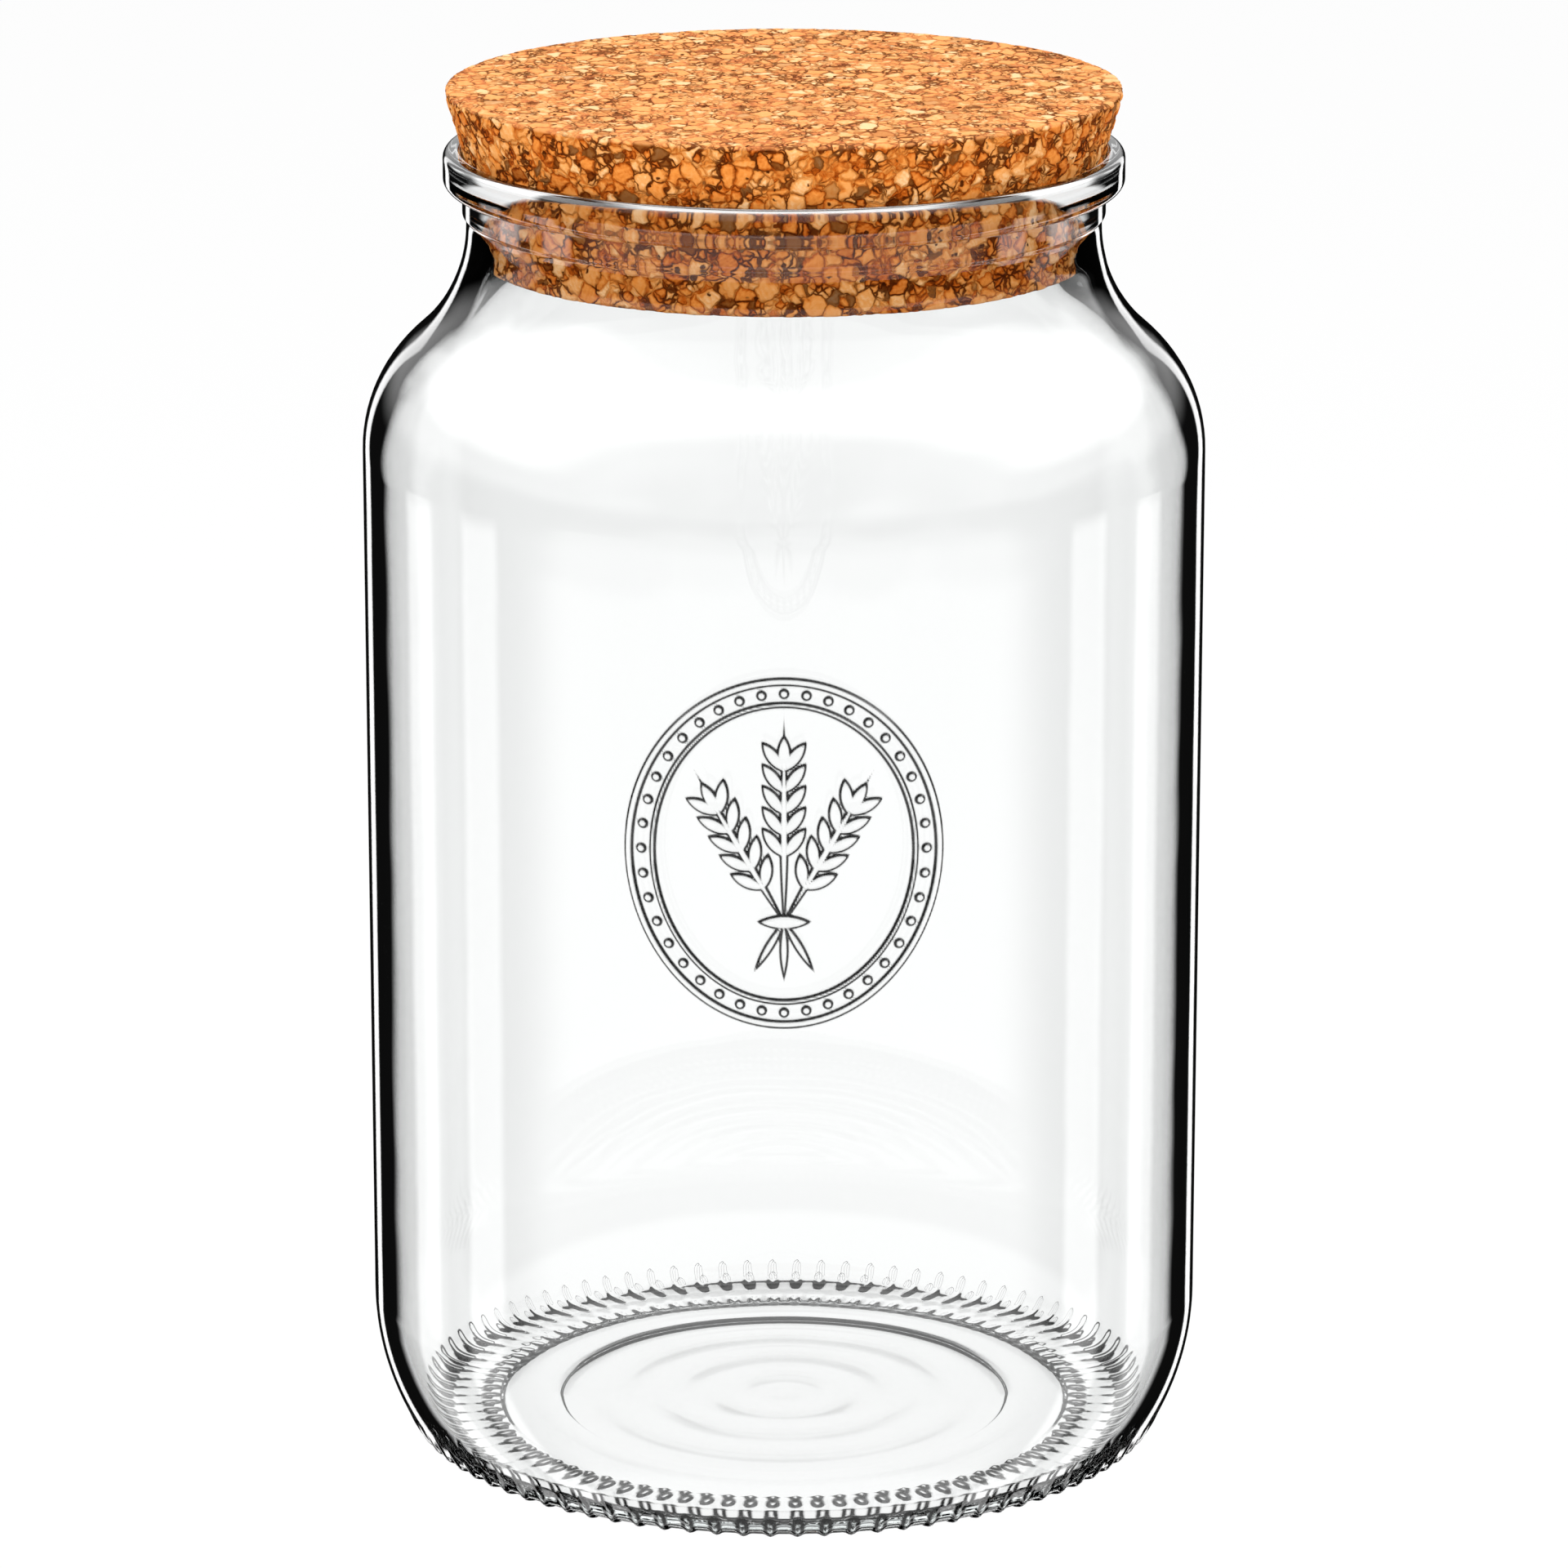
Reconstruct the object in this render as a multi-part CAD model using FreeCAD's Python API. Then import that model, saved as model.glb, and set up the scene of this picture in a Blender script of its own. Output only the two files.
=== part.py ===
import FreeCAD
import Part

import math
import os

# A wide-mouth glass storage jar that is closed by a tapered cork lid.
# Lengths are in millimetres and angles in degrees.
# The origin is the middle of the foot, on the surface that the jar stands on, and +Z points up.
# The emblem faces -Y.

# Driving dimensions of the jar's body
BODY_DIAMETER = 155.0
JAR_HEIGHT = 244.0
WALL = 4.2
SHOULDER_HEIGHT = 42.0
FLOOR_HEIGHT = 3.6
FLOOR_CORNER_RADIUS = 7.0

# Driving dimensions of the mouth, the rounded rim round it and the neck below it
# The mouth is a cone inside the rim, then a short step down to a seat, then a slighter cone down to the neck's bore
MOUTH_DIAMETER = 118.1
MOUTH_CONE_HEIGHT = 8.0
SEAT_DIAMETER = 112.4
SEAT_STEP_HEIGHT = 3.4
RIM_WALL = 3.15
RIM_HEIGHT = 7.4
RIM_UNDERSIDE_HEIGHT = 2.2
LIP_OUTER_RADIUS = 1.6
LIP_INNER_RADIUS = 1.0
NECK_DIAMETER = 116.07
NECK_WALL = 2.4
NECK_LENGTH = 1.9
NECK_RING_HEIGHT = 4.4
NECK_RING_RELIEF = 0.7

# Driving dimensions of the heel and the foot
HEEL_HEIGHT = 25.7
HEEL_SIDE_RADIUS = 46.7
HEEL_CORNER_RADIUS = 4.4
FOOT_RING_WIDTH = 12.75
PUSH_UP_HEIGHT = 0.65
PUSH_UP_SLOPE_WIDTH = 0.8
PUSH_UP_FLAT_WIDTH = 11.05
CENTRE_DISC_STEP = 0.3

# The foot stands on a ring of short moulded bars, with a second ring of shorter ones inside it
BAR_COUNT = 88
BAR_WIDTH = 1.7
BAR_RELIEF = 0.55
BAR_TOP_HEIGHT = 3.0
BAR_FOOT_LENGTH = 2.95
INNER_BAR_LENGTH = 3.0
INNER_BAR_MARGIN = 0.4

# Driving dimensions of the cork lid
CORK_TAPER_ANGLE = 15.8
PLUG_TAPER_ANGLE = 5.0
CORK_HEIGHT = 31.8
CORK_STAND = 11.3
CORK_TOP_EDGE = 0.8
CORK_BOTTOM_EDGE = 0.6
CORK_CLEARANCE = 0.25

# The emblem is a plain sheaf of wheat in a beaded oval, raised from the front of the body
EMBLEM_HEIGHT = 64.0
EMBLEM_WIDTH = 56.0
EMBLEM_DROP = 24.3
EMBLEM_RELIEF = 0.55
OVAL_LINE_WIDTH = 1.2
INNER_OVAL_GAP = 4.4
INNER_OVAL_LINE_WIDTH = 0.8
BEAD_COUNT = 40
BEAD_DIAMETER = 1.5
SHEAF_TIE_DROP = 12.5
SHEAF_TIE_LENGTH = 9.0
SHEAF_TIE_WIDTH = 2.4
SHEAF_SPREAD = 30.0
STEM_WIDTH = 1.3
TAIL_LENGTH = 10.0
MIDDLE_EAR_LENGTH = 34.0
SIDE_EAR_LENGTH = 29.0
GRAIN_PAIRS = 5
GRAIN_LENGTH = 6.4
GRAIN_WIDTH = 2.2
GRAIN_PITCH = 3.9
GRAIN_LEAN = 36.0

# Sizes that follow from the driving dimensions
BODY_RADIUS = BODY_DIAMETER / 2
MOUTH_RADIUS = MOUTH_DIAMETER / 2
RIM_RADIUS = MOUTH_RADIUS + RIM_WALL
RIM_BOTTOM_Z = JAR_HEIGHT - RIM_HEIGHT
NECK_RING_BOTTOM_Z = RIM_BOTTOM_Z - NECK_RING_HEIGHT
NECK_BOTTOM_Z = NECK_RING_BOTTOM_Z - NECK_LENGTH
BODY_TOP_Z = NECK_BOTTOM_Z - SHOULDER_HEIGHT
HEEL_TOP_Z = BAR_RELIEF + HEEL_HEIGHT
PUSH_UP_Z = BAR_RELIEF + PUSH_UP_HEIGHT
EMBLEM_MIDDLE_Z = BODY_TOP_Z - EMBLEM_DROP - EMBLEM_HEIGHT / 2

# The cork follows the mouth with an even gap
CORK_TAPER = math.tan(math.radians(CORK_TAPER_ANGLE))
PLUG_TAPER = math.tan(math.radians(PLUG_TAPER_ANGLE))
CORK_TOP_Z = JAR_HEIGHT + CORK_STAND
CORK_BOTTOM_Z = CORK_TOP_Z - CORK_HEIGHT
STEP_Z = JAR_HEIGHT - MOUTH_CONE_HEIGHT
STEP_RADIUS = MOUTH_RADIUS - CORK_TAPER * MOUTH_CONE_HEIGHT
SEAT_Z = STEP_Z - SEAT_STEP_HEIGHT
SEAT_RADIUS = SEAT_DIAMETER / 2
CORK_TOP_RADIUS = MOUTH_RADIUS - CORK_CLEARANCE + CORK_TAPER * CORK_STAND
CORK_BOTTOM_RADIUS = SEAT_RADIUS - CORK_CLEARANCE - PLUG_TAPER * (SEAT_Z - CORK_BOTTOM_Z)
NECK_RADIUS = NECK_DIAMETER / 2
BORE_RADIUS = NECK_RADIUS - NECK_WALL
CONE_BOTTOM_Z = SEAT_Z - (SEAT_RADIUS - BORE_RADIUS) / PLUG_TAPER

# The inside of the shoulder follows the outside, lower down by as much as keeps the wall, and thins towards the neck
INNER_SHOULDER_DROP = WALL * (BODY_RADIUS - NECK_RADIUS) / SHOULDER_HEIGHT
INNER_NECK_BOTTOM_Z = min(CONE_BOTTOM_Z, NECK_BOTTOM_Z - INNER_SHOULDER_DROP)
INNER_BODY_TOP_Z = BODY_TOP_Z - INNER_SHOULDER_DROP

AXIS_POINT = FreeCAD.Vector(0, 0, 0)
UP = FreeCAD.Vector(0, 0, 1)
FRONT = FreeCAD.Vector(0, -1, 0)
CUBIC_MILLIMETRES_PER_LITRE = 1e6
SHORTEST_EDGE = 1e-6


class Outline:
    """A closed chain of lines and curves in the half plane through the axis, as (radius, height) points."""

    def __init__(self, radius, height):
        self.start = self.at = FreeCAD.Vector(radius, 0, height)
        self.edges = []

    def _add(self, curve, end):
        self.edges.append(curve.toShape())
        self.at = end

    def line_to(self, radius, height):
        end = FreeCAD.Vector(radius, 0, height)
        if (end - self.at).Length > SHORTEST_EDGE:
            self._add(Part.LineSegment(self.at, end), end)

    def arc_to(self, radius, height, centre_radius, centre_height):
        """The short arc round a centre, from where the chain is to the given point."""
        end = FreeCAD.Vector(radius, 0, height)
        centre = FreeCAD.Vector(centre_radius, 0, centre_height)
        spoke = (self.at - centre) + (end - centre)
        middle = centre + spoke.normalize() * (end - centre).Length
        self._add(Part.Arc(self.at, middle, end), end)

    def s_curve_to(self, radius, height):
        """Two equal arcs between two upright walls of different radius."""
        start = self.at
        width, rise = radius - start.x, height - start.z
        arc_radius = (width * width + rise * rise) / (4 * width)
        middle = (start.x + width / 2, start.z + rise / 2)
        self.arc_to(*middle, start.x + arc_radius, start.z)
        self.arc_to(radius, height, radius - arc_radius, height)

    def quarter_ellipse_to(self, radius, height):
        """A quarter ellipse that leaves level and arrives at an upright wall above."""
        low, high = self.at, FreeCAD.Vector(radius, 0, height)
        centre = FreeCAD.Vector(low.x, 0, high.z)
        longer, shorter = sorted((low, high), key=lambda point: -(point - centre).Length)
        self._add(Part.ArcOfEllipse(Part.Ellipse(longer, shorter, centre), 0, math.pi / 2), high)

    def turned(self, angle=360):
        """The closed outline turned about Z, half of the angle to each side."""
        self.line_to(self.start.x, self.start.z)
        solid = Part.Face(Part.Wire(Part.__sortEdges__(self.edges))).revolve(AXIS_POINT, UP, angle)
        solid.rotate(AXIS_POINT, UP, -angle / 2)
        return solid


class Heel:
    """The curve from a level floor or foot up to the body's wall: a corner arc, then a wide side arc."""

    def __init__(self, inset, level, corner_radius):
        self.wall_radius = BODY_RADIUS - inset
        self.level = level
        self.side_radius = HEEL_SIDE_RADIUS - inset
        self.side_centre = (BODY_RADIUS - HEEL_SIDE_RADIUS, HEEL_TOP_Z)
        reach = self.side_radius - corner_radius
        rise = HEEL_TOP_Z - level - corner_radius
        across = math.sqrt(reach * reach - rise * rise)
        self.foot_radius = self.side_centre[0] + across
        self.corner_centre = (self.foot_radius, level + corner_radius)
        stretch = self.side_radius / reach
        self.joint = (self.side_centre[0] + across * stretch, HEEL_TOP_Z - rise * stretch)

    def radius_at(self, height):
        """Radius of the side arc at a height."""
        below = HEEL_TOP_Z - height
        return self.side_centre[0] + math.sqrt(self.side_radius ** 2 - below * below)

    def climb(self, outline):
        outline.line_to(self.foot_radius, self.level)
        outline.arc_to(*self.joint, *self.corner_centre)
        outline.arc_to(self.wall_radius, HEEL_TOP_Z, *self.side_centre)

    def descend(self, outline):
        outline.line_to(self.wall_radius, HEEL_TOP_Z)
        outline.arc_to(*self.joint, *self.side_centre)
        outline.arc_to(self.foot_radius, self.level, *self.corner_centre)


OUTER_HEEL = Heel(0, BAR_RELIEF, HEEL_CORNER_RADIUS)
INNER_HEEL = Heel(WALL, FLOOR_HEIGHT, FLOOR_CORNER_RADIUS)
BAR_HEEL = Heel(-BAR_RELIEF, 0, HEEL_CORNER_RADIUS + BAR_RELIEF)
FOOT_RING_INNER_RADIUS = OUTER_HEEL.foot_radius - FOOT_RING_WIDTH
PUSH_UP_RADIUS = FOOT_RING_INNER_RADIUS - PUSH_UP_SLOPE_WIDTH
CENTRE_DISC_RADIUS = PUSH_UP_RADIUS - PUSH_UP_FLAT_WIDTH


def trace_foot(outline):
    """The underside: a stepped push-up in the middle, then the ring that carries the bars."""
    outline.line_to(CENTRE_DISC_RADIUS - CENTRE_DISC_STEP, PUSH_UP_Z + CENTRE_DISC_STEP)
    outline.line_to(CENTRE_DISC_RADIUS, PUSH_UP_Z)
    outline.line_to(PUSH_UP_RADIUS, PUSH_UP_Z)
    outline.line_to(FOOT_RING_INNER_RADIUS, BAR_RELIEF)


def trace_rim(outline):
    """The neck ring, the rim's rounded underside and outer wall, and the lip's outer rounding."""
    ring_radius = NECK_RADIUS + NECK_RING_RELIEF
    outline.line_to(NECK_RADIUS, NECK_RING_BOTTOM_Z - NECK_RING_RELIEF)
    outline.line_to(ring_radius, NECK_RING_BOTTOM_Z)
    outline.line_to(ring_radius, RIM_BOTTOM_Z)
    outline.quarter_ellipse_to(RIM_RADIUS, RIM_BOTTOM_Z + RIM_UNDERSIDE_HEIGHT)
    lip_start = JAR_HEIGHT - LIP_OUTER_RADIUS
    outline.line_to(RIM_RADIUS, lip_start)
    lip_crown = RIM_RADIUS - LIP_OUTER_RADIUS
    outline.arc_to(lip_crown, JAR_HEIGHT, lip_crown, lip_start)


def trace_mouth(outline):
    """The lip's inner rounding, and the stepped cone that the cork seats in, down to the neck's bore."""
    cone_angle = math.radians(CORK_TAPER_ANGLE)
    reach = LIP_INNER_RADIUS * math.tan((math.pi / 2 - cone_angle) / 2)
    crown_radius = MOUTH_RADIUS + reach
    cone_radius = MOUTH_RADIUS - reach * math.sin(cone_angle)
    cone_height = JAR_HEIGHT - reach * math.cos(cone_angle)
    outline.line_to(crown_radius, JAR_HEIGHT)
    outline.arc_to(cone_radius, cone_height, crown_radius, JAR_HEIGHT - LIP_INNER_RADIUS)
    outline.line_to(STEP_RADIUS, STEP_Z)
    outline.line_to(SEAT_RADIUS, SEAT_Z)
    outline.line_to(BORE_RADIUS, CONE_BOTTOM_Z)
    outline.line_to(BORE_RADIUS, INNER_NECK_BOTTOM_Z)


def jar_shell():
    """The plain glass body, as one solid of revolution."""
    outline = Outline(0, PUSH_UP_Z + CENTRE_DISC_STEP)
    trace_foot(outline)
    OUTER_HEEL.climb(outline)
    outline.line_to(BODY_RADIUS, BODY_TOP_Z)
    outline.s_curve_to(NECK_RADIUS, NECK_BOTTOM_Z)
    trace_rim(outline)
    trace_mouth(outline)
    outline.s_curve_to(BODY_RADIUS - WALL, INNER_BODY_TOP_Z)
    INNER_HEEL.descend(outline)
    outline.line_to(0, FLOOR_HEIGHT)
    return outline.turned()


def outer_bar():
    """One bar of the outer ring, from under the foot up round the heel's lower edge."""
    inner_radius = OUTER_HEEL.foot_radius - BAR_FOOT_LENGTH
    outline = Outline(inner_radius, BAR_TOP_HEIGHT)
    outline.line_to(inner_radius, BAR_RELIEF)
    outline.line_to(inner_radius + BAR_RELIEF, 0)
    outline.line_to(BAR_HEEL.foot_radius, 0)
    outline.arc_to(*BAR_HEEL.joint, *BAR_HEEL.corner_centre)
    outline.arc_to(BAR_HEEL.radius_at(BAR_TOP_HEIGHT), BAR_TOP_HEIGHT, *BAR_HEEL.side_centre)
    return outline.turned(math.degrees(BAR_WIDTH / OUTER_HEEL.foot_radius))


def inner_bar():
    """One short bar of the inner ring, under the foot."""
    start_radius = FOOT_RING_INNER_RADIUS + INNER_BAR_MARGIN
    end_radius = start_radius + INNER_BAR_LENGTH
    outline = Outline(start_radius, 2 * BAR_RELIEF)
    outline.line_to(start_radius, BAR_RELIEF)
    outline.line_to(start_radius + BAR_RELIEF, 0)
    outline.line_to(end_radius - BAR_RELIEF, 0)
    outline.line_to(end_radius, BAR_RELIEF)
    outline.line_to(end_radius, 2 * BAR_RELIEF)
    return outline.turned(math.degrees(BAR_WIDTH / end_radius))


def foot_bars():
    """Both rings of moulded bars, which the jar stands on."""
    bars = []
    for bar in (outer_bar(), inner_bar()):
        for number in range(BAR_COUNT):
            copy = bar.copy()
            copy.rotate(AXIS_POINT, UP, (number + 0.5) * 360 / BAR_COUNT)
            bars.append(copy)
    return bars


def front_point(across, height):
    """A point of the emblem's flat drawing, across from its middle and up from its middle."""
    return FreeCAD.Vector(across, 0, EMBLEM_MIDDLE_Z + height)


def oval_face(width, height, line_width):
    """An oval line of even width, inside the given width and height."""
    discs = []
    for inset in (0, line_width):
        side = front_point(width / 2 - inset, 0)
        top = front_point(0, height / 2 - inset)
        longer, shorter = sorted((side, top), key=lambda point: -(point - front_point(0, 0)).Length)
        oval = Part.Ellipse(longer, shorter, front_point(0, 0))
        discs.append(Part.Face(Part.Wire(oval.toShape())))
    return discs[0].cut(discs[1])


def bead_faces():
    """Round beads midway between the two ovals."""
    inset = (INNER_OVAL_GAP + OVAL_LINE_WIDTH) / 2
    beads = []
    for number in range(BEAD_COUNT):
        turn = 2 * math.pi * number / BEAD_COUNT
        across = (EMBLEM_WIDTH / 2 - inset) * math.sin(turn)
        height = (EMBLEM_HEIGHT / 2 - inset) * math.cos(turn)
        circle = Part.Circle(front_point(across, height), FRONT, BEAD_DIAMETER / 2)
        beads.append(Part.Face(Part.Wire(circle.toShape())))
    return beads


def slant(lean):
    """The direction that leans from upright by an angle, to the right if the angle is positive."""
    return FreeCAD.Vector(math.sin(math.radians(lean)), 0, math.cos(math.radians(lean)))


def almond_face(foot, lean, length, width):
    """A pointed shape between two arcs, from its foot along a leaning direction."""
    along, aside = slant(lean), slant(lean + 90)
    middle, tip = foot + along * (length / 2), foot + along * length
    sides = [Part.Arc(foot, middle + aside * (sign * width / 2), tip).toShape() for sign in (1, -1)]
    return Part.Face(Part.Wire(Part.__sortEdges__(sides)))


def ear_faces(foot, lean, length):
    """One ear of wheat: a stem, pairs of grains that lean out from it, and a grain at its tip."""
    along = slant(lean)
    faces = [almond_face(foot, lean, length, STEM_WIDTH)]
    top_grain_foot = foot + along * (length - GRAIN_LENGTH)
    faces.append(almond_face(top_grain_foot, lean, GRAIN_LENGTH, GRAIN_WIDTH))
    for pair in range(GRAIN_PAIRS):
        grain_foot = top_grain_foot - along * (pair * GRAIN_PITCH)
        for side in (1, -1):
            faces.append(almond_face(grain_foot, lean + side * GRAIN_LEAN, GRAIN_LENGTH, GRAIN_WIDTH))
    return faces


def sheaf_faces():
    """Three ears that fan out from a tie, with the ends of their stems below it."""
    tie = front_point(0, -SHEAF_TIE_DROP)
    tie_end = tie - slant(90) * (SHEAF_TIE_LENGTH / 2)
    faces = [almond_face(tie_end, 90, SHEAF_TIE_LENGTH, SHEAF_TIE_WIDTH)]
    for side in (-1, 0, 1):
        length = SIDE_EAR_LENGTH if side else MIDDLE_EAR_LENGTH
        faces += ear_faces(tie, side * SHEAF_SPREAD, length)
        faces.append(almond_face(tie, 180 + side * SHEAF_SPREAD, TAIL_LENGTH, STEM_WIDTH))
    return faces[0].multiFuse(faces[1:]).removeSplitter().Faces


def emblem_relief():
    """The emblem's raised shapes, each reaching from inside the wall to the relief's height."""
    faces = [
        oval_face(EMBLEM_WIDTH, EMBLEM_HEIGHT, OVAL_LINE_WIDTH),
        oval_face(EMBLEM_WIDTH - 2 * INNER_OVAL_GAP, EMBLEM_HEIGHT - 2 * INNER_OVAL_GAP, INNER_OVAL_LINE_WIDTH),
    ]
    faces += bead_faces() + sheaf_faces()
    skin_bottom = FreeCAD.Vector(0, 0, EMBLEM_MIDDLE_Z - EMBLEM_HEIGHT)
    outer = Part.makeCylinder(BODY_RADIUS + EMBLEM_RELIEF, 2 * EMBLEM_HEIGHT, skin_bottom)
    inner = Part.makeCylinder(BODY_RADIUS - WALL / 2, 2 * EMBLEM_HEIGHT, skin_bottom)
    skin = outer.cut(inner)
    return [face.extrude(FRONT * BODY_DIAMETER).common(skin) for face in faces]


def glass_jar():
    """The jar as it leaves the mould: shell, foot bars and emblem in one piece of glass."""
    return jar_shell().multiFuse(foot_bars() + emblem_relief()).removeSplitter()


def cork_lid():
    """The tapered lid of pressed cork grains, with its edges eased."""
    outline = Outline(0, CORK_BOTTOM_Z)
    outline.line_to(CORK_BOTTOM_RADIUS - CORK_BOTTOM_EDGE, CORK_BOTTOM_Z)
    outline.line_to(CORK_BOTTOM_RADIUS + PLUG_TAPER * CORK_BOTTOM_EDGE, CORK_BOTTOM_Z + CORK_BOTTOM_EDGE)
    outline.line_to(SEAT_RADIUS - CORK_CLEARANCE, SEAT_Z)
    outline.line_to(STEP_RADIUS - CORK_CLEARANCE, STEP_Z)
    outline.line_to(CORK_TOP_RADIUS - CORK_TAPER * CORK_TOP_EDGE, CORK_TOP_Z - CORK_TOP_EDGE)
    outline.line_to(CORK_TOP_RADIUS - CORK_TOP_EDGE, CORK_TOP_Z)
    outline.line_to(0, CORK_TOP_Z)
    return outline.turned()


def capacity():
    """The room inside the jar, filled level with the lip, in litres."""
    outline = Outline(0, FLOOR_HEIGHT)
    INNER_HEEL.climb(outline)
    outline.line_to(BODY_RADIUS - WALL, INNER_BODY_TOP_Z)
    outline.s_curve_to(BORE_RADIUS, INNER_NECK_BOTTOM_Z)
    outline.line_to(BORE_RADIUS, CONE_BOTTOM_Z)
    outline.line_to(SEAT_RADIUS, SEAT_Z)
    outline.line_to(STEP_RADIUS, STEP_Z)
    outline.line_to(MOUTH_RADIUS, JAR_HEIGHT)
    outline.line_to(0, JAR_HEIGHT)
    return outline.turned().Volume / CUBIC_MILLIMETRES_PER_LITRE


def main():
    os.makedirs("parts", exist_ok=True)
    for name, shape in (("glass_jar", glass_jar()), ("cork_lid", cork_lid())):
        print(name, "solids", len(shape.Solids), "valid", shape.isValid(), "volume", round(shape.Volume))
        shape.exportStep(os.path.join("parts", name + ".step"))
    print("capacity to the lip in litres", round(capacity(), 3))
    print("cork radius, top and bottom", round(CORK_TOP_RADIUS, 2), round(CORK_BOTTOM_RADIUS, 2))
    print("inside of the neck ends at", round(INNER_NECK_BOTTOM_Z, 2), "cone ends at", round(CONE_BOTTOM_Z, 2))


main()
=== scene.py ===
# %% [markdown]
# # A glass storage jar with a cork lid
# The object has two pieces: a jar of thick moulded glass, and a tapered lid of pressed cork grains.
# The CAD model gives every size, and this lesson models both pieces again with the finish that the eye sees:
# soft corners, raised moulding, wavy glass and the grains of the cork.

# %% Load the frame
import math

import bpy
import numpy as np
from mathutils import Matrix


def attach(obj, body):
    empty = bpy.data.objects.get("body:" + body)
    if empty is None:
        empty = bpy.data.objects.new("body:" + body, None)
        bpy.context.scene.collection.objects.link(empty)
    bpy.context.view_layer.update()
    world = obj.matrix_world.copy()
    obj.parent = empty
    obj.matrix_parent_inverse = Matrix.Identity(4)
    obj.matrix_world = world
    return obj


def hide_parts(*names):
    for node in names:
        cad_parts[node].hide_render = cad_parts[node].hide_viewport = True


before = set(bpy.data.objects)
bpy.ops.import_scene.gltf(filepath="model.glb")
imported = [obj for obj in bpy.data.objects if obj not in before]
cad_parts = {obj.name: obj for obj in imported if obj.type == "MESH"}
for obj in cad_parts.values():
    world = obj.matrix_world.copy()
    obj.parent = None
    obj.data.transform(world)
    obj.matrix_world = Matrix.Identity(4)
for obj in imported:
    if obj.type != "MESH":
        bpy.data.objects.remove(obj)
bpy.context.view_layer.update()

MM = 0.001

# %% [markdown]
# ## Camera
# The photograph looks down a little with a long lens, so that upright lines stay almost parallel.
# A camera could be placed by eye, but its place was worked out from the jar's outline.

# %% Place the camera
CAMERA_DISTANCE, CAMERA_HEIGHT = 1.3553, 0.49735
CAMERA_PITCH = math.radians(15.424)
CAMERA_LENS, CAMERA_SENSOR = 173.1, 36
bpy.ops.object.select_all(action="DESELECT")
bpy.ops.object.camera_add(
    location=(0, -CAMERA_DISTANCE, CAMERA_HEIGHT), rotation=(math.pi / 2 - CAMERA_PITCH, 0, 0)
)
camera = bpy.context.object
camera.name = "camera"
camera.data.lens, camera.data.sensor_width = CAMERA_LENS, CAMERA_SENSOR
bpy.context.scene.camera = camera
print("camera looks down by", round(math.degrees(CAMERA_PITCH), 1), "degrees")

# %% [markdown]
# ## Drawing an outline
# The jar and the cork are both round, so each is an outline that is spun about the upright axis.
# A curve object could hold the outline, but extruding a single point again and again gives full control of
# where the points are, and lines and arcs need no more than that.
# The pen below starts from a plane that is merged to one point, and draws in millimetres of radius and
# height.


# %% A pen that extrudes an outline
SAME_PLACE = 1e-6


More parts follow.
